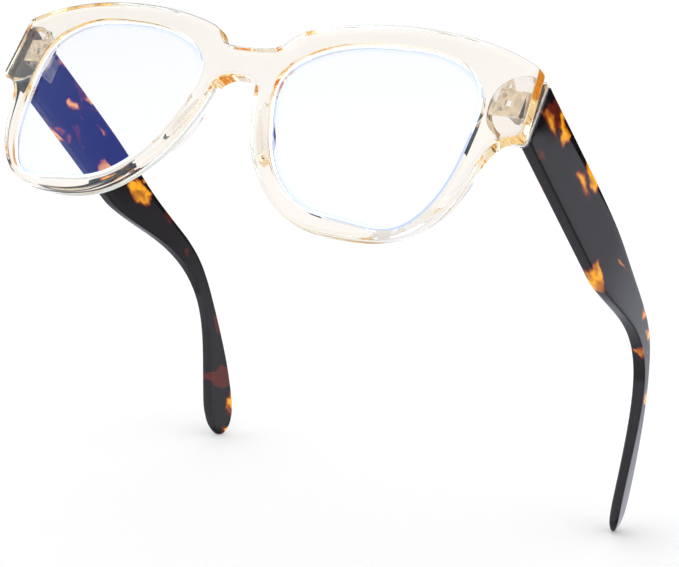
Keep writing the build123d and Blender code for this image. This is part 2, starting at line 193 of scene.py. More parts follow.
# ---------------------------------------------------------------- curves and grids
def spline(points, per_span, closed=False):
    """Smooth curve through points: cubic pieces whose slope and bend agree at each point, with the
    distance between points as the parameter.  Open ends take the slope of the cubic through the first
    or last four points.  Every span gives per_span samples; an open curve also gives its last point."""
    points = np.asarray(points, float)
    ring = np.vstack([points, points[:1]]) if closed else points
    gap = np.linalg.norm(np.diff(ring, axis=0), axis=1)
    rise = np.diff(ring, axis=0) / gap[:, None]
    count = len(ring)
    matrix, right = np.zeros((count, count)), np.zeros_like(ring)
    inner = np.arange(1, count - 1)
    matrix[inner, inner - 1] = 1 / gap[:-1]
    matrix[inner, inner] = 2 / gap[:-1] + 2 / gap[1:]
    matrix[inner, inner + 1] = 1 / gap[1:]
    right[inner] = 3 * (rise[:-1] / gap[:-1, None] + rise[1:] / gap[1:, None])
    if closed:
        matrix[0, [0, 1, -2]] = 2 / gap[0] + 2 / gap[-1], 1 / gap[0], 1 / gap[-1]
        right[0] = 3 * (rise[0] / gap[0] + rise[-1] / gap[-1])
        matrix[-1, [0, -1]] = 1, -1
    else:
        place = np.concatenate([[0], np.cumsum(gap)])
        for end, four in ((0, slice(0, 4)), (-1, slice(-4, None))):
            fit = np.polyfit(place[four], ring[four], 3)
            matrix[end, end] = 1
            right[end] = 3 * fit[0] * place[end] ** 2 + 2 * fit[1] * place[end] + fit[2]
    slope = np.linalg.solve(matrix, right)
    u = (np.arange(per_span) / per_span)[None, :, None]
    g = gap[:, None, None]
    start, stop = ring[:-1, None], ring[1:, None]
    out = (start * (1 - u) ** 2 * (1 + 2 * u) + stop * u**2 * (3 - 2 * u)
           + slope[:-1, None] * g * u * (1 - u) ** 2 - slope[1:, None] * g * u**2 * (1 - u))
    out = out.reshape(-1, ring.shape[1])
    return out if closed else np.vstack([out, ring[-1:]])


def straight(start, stop, count=24):
    """Evenly spaced points from start up to, but not including, stop."""
    u = np.arange(count)[:, None] / count
    return np.asarray(start, float) * (1 - u) + np.asarray(stop, float) * u


def arc_through(a, b, c, count=24):
    """Circular arc from a by way of b to c."""
    a, b, c = (np.asarray(p, float) for p in (a, b, c))
    lhs = 2 * np.array([b - a, c - a])
    centre = np.linalg.solve(lhs, [b @ b - a @ a, c @ c - a @ a])
    angle = [np.arctan2(*(p - centre)[::-1]) for p in (a, b, c)]
    angle = np.unwrap(angle)
    turn = np.linspace(angle[0], angle[2], count)
    radius = np.linalg.norm(a - centre)
    return centre + radius * np.stack([np.cos(turn), np.sin(turn)], -1)


def even(points, count, closed=False):
    """The same line again, with count points at equal distances along it."""
    line = np.vstack([points, points[:1]]) if closed else points
    run = np.concatenate([[0], np.cumsum(np.linalg.norm(np.diff(line, axis=0), axis=1))])
    at = np.linspace(0, run[-1], count, endpoint=not closed)
    return np.stack([np.interp(at, run, line[:, axis]) for axis in range(line.shape[1])], -1)


def blur(values, width):
    """Weighted running mean over neighbours, with a bell of that width in samples; the ends wrap round."""
    reach = int(3 * width) + 1
    offset = np.arange(-reach, reach + 1)
    bell = np.exp(-0.5 * (offset / width) ** 2)
    bell /= bell.sum()
    padded = np.concatenate([values[-reach:], values, values[:reach]])
    columns = [np.convolve(column, bell, "valid") for column in np.atleast_2d(padded.T)]
    return np.stack(columns, -1).reshape(values.shape)


def soften(line, width):
    """The same bell over an open line, whose two ends stay where they are."""
    reach = int(3 * width) + 1
    head, tail = 2 * line[0] - line[reach:0:-1], 2 * line[-1] - line[-2:-reach - 2:-1]
    return blur(np.vstack([head, line, tail]), width)[reach:-reach]


def smooth_step(value, low, high):
    """Nought below low, one above high, and 3t^2 - 2t^3 between them."""
    t = np.clip((value - low) / (high - low), 0, 1)
    return t * t * (3 - 2 * t)


def inward(ring):
    """Unit direction into a closed ring at each point: its heading turned a quarter, to the side of its
    middle."""
    heading = np.roll(ring, -1, 0) - np.roll(ring, 1, 0)
    side = np.stack([-heading[:, 1], heading[:, 0]], -1)
    side /= np.linalg.norm(side, axis=1)[:, None]
    x, z = ring.T
    area = np.sum(x * np.roll(z, -1) - np.roll(x, -1) * z)
    return side * np.sign(area)


def mesh_piece(name, rings, loop=False, halves=False, edge=None, sharp=32.0):
    """A closed surface from a grid of points, rings by points, in the front's frame in mm.  Each ring
    closes on itself; with loop the rings close too, otherwise the first and last ring shrink to a point.
    Halves adds the other half across X = 0 and leaves the middle open, so that the halves are one.  Edge
    is a value at each point that the material reads."""
    rows, columns = rings.shape[:2]
    points = rings.reshape(-1, 3).copy()
    points[np.abs(points[:, 0]) < 1e-6, 0] = 0.0
    index = np.arange(rows * columns).reshape(rows, columns)
    if loop:
        index = np.vstack([index, index[:1]])
    beside = np.roll(index, -1, axis=1)
    faces = np.stack([index[:-1], beside[:-1], beside[1:], index[1:]], -1).reshape(-1, 4)
    if halves:
        faces = faces[~np.all(points[faces, 0] == 0.0, axis=1)]
        faces = np.vstack([faces, faces[:, ::-1] + len(points)])
        points = np.vstack([points, points * (-1, 1, 1)])
    mesh = bpy.data.meshes.new(name)
    mesh.from_pydata(to_row(points), [], faces.tolist())
    if edge is not None:
        mesh.attributes.new("edge", "FLOAT", "POINT").data.foreach_set("value", edge.ravel())
    work = bmesh.new()
    work.from_mesh(mesh)
    bmesh.ops.remove_doubles(work, verts=work.verts, dist=BONDED)
    bmesh.ops.delete(work, geom=[v for v in work.verts if not v.link_faces], context="VERTS")
    bmesh.ops.recalc_face_normals(work, faces=work.faces)
    work.to_mesh(mesh)
    work.free()
    mesh.shade_smooth()
    mesh.set_sharp_from_angle(angle=np.radians(sharp))
    piece = bpy.data.objects.new(name, mesh)
    bpy.context.scene.collection.objects.link(piece)
    return piece


def finish_piece(piece, material, body, slot, *nodes):
    """Gives a piece its material and its body, and hides the nodes that it stands for.  The slot argument is
    not used.
    """
    piece.data.materials.clear()
    piece.data.materials.append(material)
    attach(piece, body)
    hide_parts(*nodes)


# ---------------------------------------------------------------- outlines of the front
# the lens opening as shares of half its width and half its height from its middle
LENS_SHAPE = [(1.00, 0.08), (0.945, 0.64), (0.62, 0.93), (0.05, 1.00), (-0.57, 0.89), (-0.98, 0.50),
              (-0.93, 0.02), (-0.74, -0.48), (-0.32, -0.90), (0.20, -1.00), (0.68, -0.96), (0.92, -0.55)]


def lens_ring(s, count=480):
    """Lens opening: the smooth closed curve through LENS_SHAPE, in even steps."""
    middle = s["bridge"] / 2 + s["lens_width"] / 2
    half = np.array([s["lens_width"], s["lens_height"]]) / 2
    return even(spline(np.array(LENS_SHAPE) * half + (middle, 0), 60, closed=True), count, closed=True)


def half_front_ring(s, count=520, middle_count=18):
    """Half of the front's outline from the top of the bridge round to its arch, then up its middle.
    The corners are softened by a running mean over the outline and its mirror image."""
    half_w, half_h = s["lens_width"] / 2, s["lens_height"] / 2
    nose_x, side_x = s["bridge"] / 2, s["width"] / 2
    lens_x, ear_x = nose_x + half_w, nose_x + 2 * half_w
    bar_top, end_top = half_h - s["bar_drop"], s["end_rise"]
    arch, corner_low = bar_top - s["bridge_height"], end_top - s["end_height"]
    brow = [(nose_x - 0.6, half_h + 0.3), (lens_x - 0.55 * half_w, half_h + 0.68 * s["brow_rim"]),
            (lens_x + 0.20 * half_w, half_h + s["brow_rim"]),
            (lens_x + 0.85 * half_w, half_h + 0.72 * s["brow_rim"]),
            (side_x - 1.2, end_top + 0.4)]
    rim = [(side_x - 1.0, corner_low), (ear_x + 6.6, corner_low - 1.8), (ear_x + 3.6, -0.30 * half_h),
           (ear_x + 0.8, -0.66 * half_h), (lens_x + 0.76 * half_w, -half_h - 0.3),
           (lens_x + 0.25 * half_w, -half_h - s["bottom_rim"]),
           (lens_x - 0.40 * half_w, -half_h - 0.42 * s["bottom_rim"]), (nose_x + 2.4, -0.55 * half_h),
           (nose_x - s["nose_rim"] + 0.5, 0.06 * half_h), (nose_x - 5.2, arch - 2.0)]
    step = (nose_x - 3.2, bar_top + 0.3)
    line = np.vstack([
        straight((0, bar_top), step), straight(step, brow[0]), spline(brow, 40)[:-1],
        straight(brow[-1], (side_x, corner_low + 1.0)), straight((side_x, corner_low + 1.0), rim[0]),
        spline(rim, 40)[:-1], arc_through(rim[-1], (nose_x - 7.0, arch - 0.2), (0, arch))])
    line = even(line, count)
    both = np.vstack([line, (line * (-1, 1))[-2:0:-1]])
    near_bridge = 1 - smooth_step(line[:, :1], 20.0, 30.0)
    line = blur(both, 1.6)[:count] * (1 - near_bridge) + blur(both, 4.5)[:count] * near_bridge
    line[[0, -1], 0] = 0.0
    edge = np.array([0.0, s["outer_round"]])
    middle = straight(line[-1] + edge, line[0] - edge, middle_count)[1:]
    return np.vstack([line, middle]), count


def facing_ring(ring, outer, lens_x):
    """For each outer point, the point of a lens ring in the same direction from the lens's middle, with
    the directions smoothed and kept in order so that the faces between never fold."""
    def direction(points):
        return np.unwrap(np.arctan2(points[:, 1], points[:, 0] - lens_x))

    near, far = direction(ring), direction(outer)
    turn = -2 * np.pi if far[-1] < far[0] else 2 * np.pi
    share = np.arange(len(far)) / len(far)
    steady = blur(far - turn * share, 9.0) + turn * share
    if near[-1] < near[0]:
        ring, near = ring[::-1], near[::-1]
    around = np.concatenate([near - 2 * np.pi, near, near + 2 * np.pi])
    place = np.concatenate([ring] * 3)
    wanted = (steady - near[0]) % (2 * np.pi) + near[0]
    order = np.argsort(around)
    return np.stack([np.interp(wanted, around[order], place[order, axis]) for axis in range(2)], -1)


def bend(flat, depth, radius):
    """Flat (x, z) points at a depth behind the front face, laid on a sheet bent to a radius about an
    upright axis behind the front."""
    x, z = flat[..., 0], flat[..., 1]
    y = radius - np.sqrt((radius - depth) ** 2 - x**2)
    return np.stack([x, np.broadcast_to(y, x.shape), z], -1)


def quarter(count=7):
    """Sine and 1 - cosine over a quarter turn, for rounded edges."""
    turn = np.linspace(0, np.pi / 2, count)
    return np.sin(turn), 1 - np.cos(turn)


def rim_profile(s, lens):
    """Section of the rim, once round: share of the way from the lens side to the outer edge, distance
    into the material from that edge, and depth behind the front face."""
    sine, fall = quarter()
    thick, crown = s["thickness"], s["crown"]
    bevel, outer = s["lens_bevel"], s["outer_round"]
    low, high = lens["setback"] - 0.06, lens["setback"] + lens["thickness"] + 0.06
    share = np.linspace(0, 1, 13)[1:-1]
    dome = crown * (2 * share - 1) ** 2
    rows = [(0, lens["groove"] + 0.08, low), (0, 0, low), (0, 0, crown + bevel)]
    rows += [(0, bevel * f, crown + bevel * (1 - n)) for n, f in zip(sine, fall)][1:]
    rows += [(w, None, d) for w, d in zip(share, dome)]
    rows += [(1, outer * (1 - n), crown + outer * f) for n, f in zip(sine, fall)]
    rows += [(1, 0, thick / 2)]
    rows += [(1, outer * f, thick - crown - outer * (1 - n)) for n, f in zip(sine, fall)]
    rows += [(w, None, thick - d) for w, d in zip(share[::-1], dome[::-1])]
    rows += [(0, bevel * (1 - n), thick - crown - bevel * f) for n, f in zip(sine, fall)]
    rows += [(0, 0, high), (0, lens["groove"] + 0.08, high)]
    return rows


def front_rings(s, lens):
    """The rim's section carried round the lens opening.  A row that belongs to the lens side follows the
    opening, one that belongs to the outer edge follows the outline, and a face row lies in between."""
    outer, count = half_front_ring(s)
    lens_x = s["bridge"] / 2 + s["lens_width"] / 2
    opening = lens_ring(s)
    near = facing_ring(opening, outer, lens_x)
    into_rim = facing_ring(opening - inward(opening), outer, lens_x) - near
    into_rim /= np.linalg.norm(into_rim, axis=1)[:, None]
    whole = np.vstack([outer[:count], (outer[:count] * (-1, 1))[-2:0:-1]])
    into_face = np.zeros_like(outer)
    into_face[:count] = blur(inward(whole), 2.2)[:count]
    into_face[[0, count - 1], 0] = 0.0
    rings = []
    for share, inset, depth in rim_profile(s, lens):
        lens_inset = s["lens_bevel"] if inset is None else inset
        edge_inset = s["outer_round"] if inset is None else inset
        flat = (1 - share) * (near + lens_inset * into_rim) + share * (outer + edge_inset * into_face)
        rings.append(bend(flat, depth, s["wrap_radius"]))
    return np.array(rings)


def puck(ring, profile, middle):
    """Rings of a solid disc: a profile of (share of the way out from the middle, inset, depth) rows
    carried round an outline, closed by a point at each end."""
    into = inward(ring)
    return [((1 - share) * middle + share * (ring + inset * into), depth) for share, inset, depth in profile]


# ---------------------------------------------------------------- shared effects for the materials
def node(tree, kind, inputs=None, **settings):
    """Adds a node, sets its options, and links or sets its inputs by name or number."""
    made = tree.nodes.new(kind)
    for key, value in settings.items():
        setattr(made, key, value)
    for key, value in (inputs or {}).items():
        if isinstance(value, bpy.types.NodeSocket):
            tree.links.new(value, made.inputs[key])
        else:
            made.inputs[key].default_value = value
    return made


def new_group(name, inputs, outputs):
    """A shader node group with named sockets: (name, kind, default) inputs and (name, kind) outputs."""
    tree = bpy.data.node_groups.new(name, "ShaderNodeTree")
    for label, kind, default in inputs:
        socket = tree.interface.new_socket(label, in_out="INPUT", socket_type="NodeSocket" + kind)
        socket.default_value = default
    for label, kind in outputs:
        tree.interface.new_socket(label, in_out="OUTPUT", socket_type="NodeSocket" + kind)
    return tree, tree.nodes.new("NodeGroupInput").outputs, tree.nodes.new("NodeGroupOutput").inputs


def maths(tree, operation, a, b=0.0, clamp=False):
    """A sum on one or two values."""
    return node(tree, "ShaderNodeMath", {0: a, 1: b}, operation=operation, use_clamp=clamp).outputs[0]


def between(tree, value, low, high, to_low=0.0, to_high=1.0):
    """Smooth step of a value from one level to another."""
    made = node(tree, "ShaderNodeMapRange",
                {"Value": value, "From Min": low, "From Max": high, "To Min": to_low, "To Max": to_high},
                interpolation_type="SMOOTHSTEP")
    return made.outputs["Result"]


def mix_value(tree, factor, a, b):
    """A value that goes from a to b as the factor goes from nought to one."""
    return node(tree, "ShaderNodeMix", {"Factor": factor, 2: a, 3: b}, data_type="FLOAT").outputs[0]


def scaled(tree, vector, scale):
    """A vector times a number."""
    return node(tree, "ShaderNodeVectorMath", {0: vector, "Scale": scale}, operation="SCALE").outputs[0]


def noise(tree, place, scale, detail):
    """Soft cloudy values between nought and one."""
    made = node(tree, "ShaderNodeTexNoise", {"Vector": place, "Scale": scale, "Detail": detail})
    return made.outputs["Fac"]


def mix_colour(tree, factor, a, b):
    """A colour that goes from a to b as the factor goes from nought to one."""
    made = node(tree, "ShaderNodeMix", {"Factor": factor}, data_type="RGBA")
    for socket, value in ((made.inputs[6], a), (made.inputs[7], b)):
        if isinstance(value, bpy.types.NodeSocket):
            tree.links.new(value, socket)
        else:
            socket.default_value = (*value, 1.0) if len(value) == 3 else value
    return made.outputs[2]


def handling_group():
    """Fine hairlines and faint smudges from being handled: a roughness that varies and a small height."""
    tree, given, result = new_group(
        "Handling marks",
        [("Roughness", "Float", 0.05), ("Spread", "Float", 0.05), ("Scale", "Float", 1.0)],
        [("Roughness", "Float"), ("Height", "Float")])
    place = node(tree, "ShaderNodeTexCoord").outputs["Object"]
    sized = scaled(tree, place, given["Scale"])
    smudge = noise(tree, sized, 90.0, 3.0)
    drawn = node(tree, "ShaderNodeMapping",
                 {"Vector": sized, "Rotation": (0.3, 0.2, 0.5), "Scale": (1, 9, 9)})
    hair = noise(tree, drawn.outputs[0], 420.0, 2.0)
    marks = between(tree, smudge, 0.42, 0.72)
    lines = between(tree, hair, 0.60, 0.74)
    both = maths(tree, "ADD", maths(tree, "MULTIPLY", marks, 0.7), maths(tree, "MULTIPLY", lines, 0.3))
    extra = maths(tree, "MULTIPLY", both, given["Spread"])
    rough = maths(tree, "ADD", extra, given["Roughness"], clamp=True)
    wave = noise(tree, sized, 160.0, 1.0)
    height = maths(tree, "SUBTRACT", wave, maths(tree, "MULTIPLY", lines, 0.12))
    tree.links.new(rough, result["Roughness"])
    tree.links.new(height, result["Height"])
    return tree


def flake_group():
    """Flakes of amber in a dark ground: cells of a warped cell pattern, of which only some are amber.
    A flake runs from rust at its rim to amber at its heart."""
    tree, given, result = new_group(
        "Tortoise flakes",
        [("Cell Size", "Float", 0.006), ("Share", "Float", 0.2), ("Dark", "Color", (0, 0, 0, 1)),
         ("Rust", "Color", (0.2, 0, 0, 1)), ("Amber", "Color", (1, 0.4, 0, 1))],
        [("Color", "Color"), ("Amber", "Float")])
    place = node(tree, "ShaderNodeTexCoord").outputs["Object"]
    scale = maths(tree, "DIVIDE", 1.0, given["Cell Size"])
    sized = scaled(tree, place, scale)
    stretched = node(tree, "ShaderNodeMapping", {"Vector": sized, "Scale": (0.9, 0.55, 0.9),
                                                 "Rotation": (0.7, 0.0, 0.2)}).outputs[0]
    rag = node(tree, "ShaderNodeTexNoise",
               {"Vector": stretched, "Scale": 1.4, "Detail": 2.0, "Roughness": 0.5})
    shift = node(tree, "ShaderNodeVectorMath", {0: rag.outputs["Color"], 1: (0.5, 0.5, 0.5)},
                 operation="SUBTRACT").outputs[0]
    shift = scaled(tree, shift, 0.95)
    warped = node(tree, "ShaderNodeVectorMath", {0: stretched, 1: shift}, operation="ADD").outputs[0]
    cell = node(tree, "ShaderNodeTexVoronoi", {"Vector": warped, "Scale": 1.0}, feature="F1")
    wall = node(tree, "ShaderNodeTexVoronoi", {"Vector": warped, "Scale": 1.0}, feature="DISTANCE_TO_EDGE")
    lot = node(tree, "ShaderNodeSeparateColor", {"Color": cell.outputs["Color"]}).outputs[0]
    chosen = maths(tree, "MULTIPLY", maths(tree, "SUBTRACT", given["Share"], lot), 25.0, clamp=True)
    depth = maths(tree, "MULTIPLY", wall.outputs["Distance"], chosen)
    rust = between(tree, depth, 0.015, 0.10)
    amber = between(tree, depth, 0.06, 0.22)
    ground = mix_colour(tree, rust, given["Dark"], given["Rust"])
    cloud = noise(tree, warped, 1.7, 1.0)
    heart = mix_colour(tree, between(tree, cloud, 0.42, 0.70, 0.0, 0.75), given["Amber"], given["Rust"])
    tree.links.new(mix_colour(tree, amber, ground, heart), result["Color"])
    tree.links.new(amber, result["Amber"])
    return tree


GROUPS = {}
RIM_EDGE = 0.6                       # edge value of a lens where its back face meets the ground edge: the painted sheen is full there and the painted glow starts


def shared(name):
    """The shared effect of that name, built the first time that it is asked for."""
    if name not in GROUPS:
        GROUPS[name] = {"handling": handling_group, "flakes": flake_group}[name]()
    return GROUPS[name]


def new_material(name, constants, roughness, spread, marks_scale=1.0, bump=0.1, bump_depth=0.00002):
    """A Principled material whose roughness and bump come from the handling marks."""
    material = bpy.data.materials.new(name)
    material.use_nodes = True
    tree = material.node_tree
    shader = tree.nodes["Principled BSDF"]
    for key, value in constants.items():
        shader.inputs[key].default_value = value
    marks = node(tree, "ShaderNodeGroup", node_tree=shared("handling"))
    for key, value in (("Roughness", roughness), ("Spread", spread), ("Scale", marks_scale)):
        marks.inputs[key].default_value = value
    raised = node(tree, "ShaderNodeBump", {"Height": marks.outputs["Height"], "Strength": bump,
                                           "Distance": bump_depth})
    tree.links.new(marks.outputs["Roughness"], shader.inputs["Roughness"])
    tree.links.new(raised.outputs["Normal"], shader.inputs["Normal"])
    return material, tree, shader


def tone(tree, base, change, scale=60.0):
    """A colour that drifts slightly between two tones across a piece."""
    place = node(tree, "ShaderNodeTexCoord").outputs["Object"]
    drift = noise(tree, place, scale, 2.0)
    other = tuple(min(1.0, channel * change) for channel in base)
    return mix_colour(tree, between(tree, drift, 0.35, 0.65), base, other)


def crystal_material(props):
    """Clear champagne acetate: near clear on its faces, gold where light travels far inside it."""
    material, tree, shader = new_material(
        "Crystal acetate", {"Transmission Weight": 1.0, "IOR": 1.49}, 0.0, 0.035, bump=0.06)
    tree.links.new(tone(tree, tuple(props.tint), 0.985), shader.inputs["Base Color"])
    inside = node(tree, "ShaderNodeVolumeAbsorption",
                  {"Color": (*props.depth_tint, 1.0), "Density": props.depth})
    tree.links.new(inside.outputs[0], tree.nodes["Material Output"].inputs["Volume"])
    return material


def lens_material(props):
    """Clear lens whose coating throws back blue, with a painted blue sheen in its base colour over the rim
    of its back face and on its ground edge, and a painted pale blue glow, an emission, round that ground
    edge.  The mesh's edge value rises to RIM_EDGE over the last of the back face and is 1 on the ground
    edge."""
    material, tree, shader = new_material(
        "Coated lens", {"Transmission Weight": 1.0, "IOR": 1.9, "Specular Tint": (*props.coating, 1.0),
                        "Emission Strength": 1.0},
        0.0, 0.01, bump=0.02)
    edge = node(tree, "ShaderNodeAttribute", attribute_name="edge").outputs["Fac"]
    # painted sheen: the base colour turns bluer over the rim of the back face and on the ground edge
    body = mix_colour(tree, between(tree, edge, 0.0, RIM_EDGE), tuple(props.tint), tuple(props.edge_painted_sheen))
    tree.links.new(body, shader.inputs["Base Color"])
    # painted glow: pale blue emission on the ground edge of the lens
    glow = mix_colour(tree, between(tree, edge, RIM_EDGE, 0.8), (0.0, 0.0, 0.0), tuple(props.edge_painted_glow))
    tree.links.new(glow, shader.inputs["Emission Color"])
    return material


def tortoise_material(props):
    """Dark brown polished acetate with faint rust clouds and amber flakes of two sizes, which gather
    towards the top edge; the flakes carry a painted glow, an emission in their own colour that stands in for
    light coming through them."""
    material, tree, shader = new_material(
        # painted glow: Emission Strength lets the flakes emit in their own colour, standing in for light
        # coming through them
        "Tortoise acetate", {"IOR": 1.49, "Emission Strength": 0.16}, 0.03, 0.09, bump=0.05)
    rise = node(tree, "ShaderNodeAttribute", attribute_name="edge").outputs["Fac"]
    more = between(tree, rise, 0.1, 0.7, 0.3, 1.3)
    layers = ((props.flake * 1.1, 0.13, props.rust), (props.flake, 0.13, props.amber),
              (props.flake * 0.55, 0.05, props.amber))
    ground, glow = tuple(props.dark), 0.0
    for size, share, heart in layers:
        flakes = node(tree, "ShaderNodeGroup", node_tree=shared("flakes"))
        tree.links.new(maths(tree, "MULTIPLY", more, share), flakes.inputs["Share"])
        for key, value in (("Cell Size", size), ("Dark", (*props.dark, 1)), ("Rust", (*props.rust, 1)),
                           ("Amber", (*heart, 1))):
            flakes.inputs[key].default_value = value
        if heart == props.rust:
            ground = mix_colour(tree, 0.45, ground, flakes.outputs["Color"])
            # the rust flakes take a tenth of the painted glow
            glow = maths(tree, "MULTIPLY", flakes.outputs["Amber"], 0.1)
            continue
        ground = node(tree, "ShaderNodeMix", {"Factor": 1.0, 6: ground, 7: flakes.outputs["Color"]},
                      data_type="RGBA", blend_type="LIGHTEN").outputs[2]
        glow = maths(tree, "MAXIMUM", glow, flakes.outputs["Amber"])
    tree.links.new(ground, shader.inputs["Base Color"])
    # painted glow: emission in the base colour wherever there are flakes
    tree.links.new(mix_colour(tree, glow, (0.0, 0.0, 0.0), ground), shader.inputs["Emission Color"])
    return material


def metal_material(name, base, roughness, spread, marks_scale=3.0):
    """Bare or plated metal with drawn hairlines and slightly uneven colour."""
    material, tree, shader = new_material(name, {"Metallic": 1.0}, roughness, spread, marks_scale, bump=0.3)
    tree.links.new(tone(tree, tuple(base), 0.78, 900.0), shader.inputs["Base Color"])
    return material


# ---------------------------------------------------------------- operators, one for each piece or group
class GLASSES_OT_front(bpy.types.Operator):
    """Builds the crystal acetate front with its lens grooves and tumbled edges"""
    bl_idname = "glasses.front"
    bl_label = "Front"

    def execute(self, context):
        props = context.scene.glasses_front
        rings = front_rings(sizes(props), sizes(context.scene.glasses_lens))
        piece = mesh_piece("acetate_front", rings, loop=True, halves=True)
        finish_piece(piece, crystal_material(props), "front", "crystal_acetate", "front_frame")
        return {"FINISHED"}


class GLASSES_OT_lenses(bpy.types.Operator):
    """Builds both coated lenses with their bevelled edges"""
    bl_idname = "glasses.lenses"
    bl_label = "Lenses"

    def execute(self, context):
        s, lens = sizes(context.scene.glasses_front), sizes(context.scene.glasses_lens)
        material = lens_material(context.scene.glasses_lens)
        near, far = lens["setback"], lens["setback"] + lens["thickness"]
        out = np.linspace(0, 1, 20) ** 0.7
        profile = [(share, 0.0, near) for share in (*out[:-1], 0.998, 1.0)]
        ground = 0.55                # depth of each bevel of the edge
        profile += [(1, -lens["groove"], near + ground), (1, -lens["groove"], far - ground)]
        profile += [(share, 0.0, far) for share in out[::-1]]
        ring = lens_ring(s, 320)
        middle = ring.mean(0)
        rows = puck(ring, profile, middle)
        rings = np.array([bend(flat, depth, s["wrap_radius"]) for flat, depth in rows])
        share, inset, depth = np.array(profile).T
        # edge value: mask of the painted sheen over the rim of the back face and of the painted glow on the
        # ground edge
        edge = np.where(depth == far, RIM_EDGE * np.clip((share - 0.94) / 0.06, 0, 1), 0.0)
        edge[(inset < 0) | ((share == 1.0) & (depth == near))] = 1.0
        edge = edge[:, None] * np.ones(len(ring))
        for side, sign in SIDES.items():
            piece = mesh_piece(f"coated_lens_{side}", rings * (sign, 1, 1), edge=edge)
            finish_piece(piece, material, "front", "lens", f"lens_{side}")
        return {"FINISHED"}


class GLASSES_OT_nose_pads(bpy.types.Operator):
    """Builds the two acetate nose pads on the back of the rims: a leaning oval foot that shrinks to a
    point over a full, tapering dome"""
    bl_idname = "glasses.nose_pads"
    bl_label = "Nose pads"

    def execute(self, context):
        s = sizes(context.scene.glasses_front)
        pad, lean = sizes(context.scene.glasses_pad), context.scene.glasses_pad.lean
        material = bpy.data.materials["Crystal acetate"]
        centre = np.array([s["bridge"] / 2 + pad["in_rim"], -pad["drop"]])
        around = np.linspace(0, 2 * np.pi, 96, endpoint=False)
        oval = np.stack([np.cos(around) * pad["width"] / 2, np.sin(around) * pad["height"] / 2], -1)
        turn = np.array([[np.cos(lean), -np.sin(lean)], [np.sin(lean), np.cos(lean)]])
        oval = oval @ turn.T
        foot = [(share, 0.0) for share in np.linspace(0, 1, 6)]
        rise = np.linspace(0, np.pi / 2, 26)
        full, taper = 2 / 2.7, 0.32      # fuller than an ellipse, and narrower towards the crown
        dome = [(np.cos(t) ** full * (1 - taper * np.sin(t) ** full), np.sin(t) ** full) for t in rise]
        dome[-1] = (0.0, 1.0)
        rings = []
        for share, up in foot + dome:
            flat = centre + (pad["shift"] * up, 0) + oval * share
            rings.append(bend(flat, s["thickness"] + GLUE_GAP + pad["depth"] * up, s["wrap_radius"]))
        for side, sign in SIDES.items():
            piece = mesh_piece(f"pad_{side}", np.array(rings) * (sign, 1, 1))
            finish_piece(piece, material, "front", "crystal_acetate", f"nose_pad_{side}")
        return {"FINISHED"}


class GLASSES_OT_end_blocks(bpy.types.Operator):
    """Builds the D shaped blocks that hold the hinges behind the end pieces: an outline carried from the
    bent back of the front to the flat face at the temple"""
    bl_idname = "glasses.end_blocks"
    bl_label = "End blocks"

    def execute(self, context):
        s = sizes(context.scene.glasses_front)
        material = bpy.data.materials["Crystal acetate"]
        block = sizes(context.scene.glasses_block)
        big, small, middle_z = block["inner_round"], block["outer_round"], block["rise"]
        right = s["width"] / 2 - block["inset"]
        left, half_h = right - block["width"], block["height"] / 2
        low, high = middle_z - half_h, middle_z + half_h
        corners = [(right, low, small, -90), (right, high, small, 0), (left, high, big, 90),
                   (left, low, big, 180)]
        ring = []
        for x, z, radius, start in corners:
            turn = np.radians(np.linspace(start, start + 90, 24))
            cx, cz = x - np.sign(x - (left + right) / 2) * radius, z - np.sign(z - middle_z) * radius
            ring.append(np.stack([cx + radius * np.cos(turn), cz + radius * np.sin(turn)], -1))
        ring = even(np.vstack(ring), 200, closed=True)
        sine, fall = quarter(6)
        edge, front_edge = block["back_edge"], block["front_edge"]
        share = np.linspace(0, 1, 9)[:-1]
        front = s["thickness"] + GLUE_GAP
        profile = [(w, front_edge, 0.0) for w in share]
        profile += [(1, front_edge * (1 - n), front_edge * f) for n, f in zip(sine, fall)]
        profile += [(1, edge * f, -edge * (1 - n)) for n, f in zip(sine, fall)]
        profile += [(w, edge, -0.0001) for w in share[::-1]]     # depths below 0 are from the back face
        back = BLOCK_BACK - FLUSH_GAP
        rings = []
        for flat, depth in puck(ring, profile, ring.mean(0)):
            if depth >= 0:
                rings.append(bend(flat, front + depth, s["wrap_radius"]))
            else:
                y = np.full(len(flat), back + depth)
                rings.append(np.stack([flat[:, 0], y, flat[:, 1]], -1))
        for side, sign in SIDES.items():
            piece = mesh_piece(f"hinge_block_{side}", np.array(rings) * (sign, 1, 1))
            finish_piece(piece, material, "front", "crystal_acetate", f"end_block_{side}")
        return {"FINISHED"}


class GLASSES_OT_temples(bpy.types.Operator):
    """Builds the two tortoise temples from the hinge to the rounded tip"""
    bl_idname = "glasses.temples"
    bl_label = "Temples"

    def execute(self, context):
        props = context.scene.glasses_temple
        material = tortoise_material(props)
        rings, rise = temple_rings(sizes(props), sizes(context.scene.glasses_front))
        for side, sign in SIDES.items():
            piece = mesh_piece(f"tortoise_temple_{side}", rings * (sign, 1, 1), edge=rise, sharp=50.0)
            finish_piece(piece, material, f"{side}_temple", "tortoise_acetate", f"temple_{side}")
        return {"FINISHED"}


DEEP_SLOPE = np.radians(11.67705)         # fall of the top edge from the hinge to the deep place


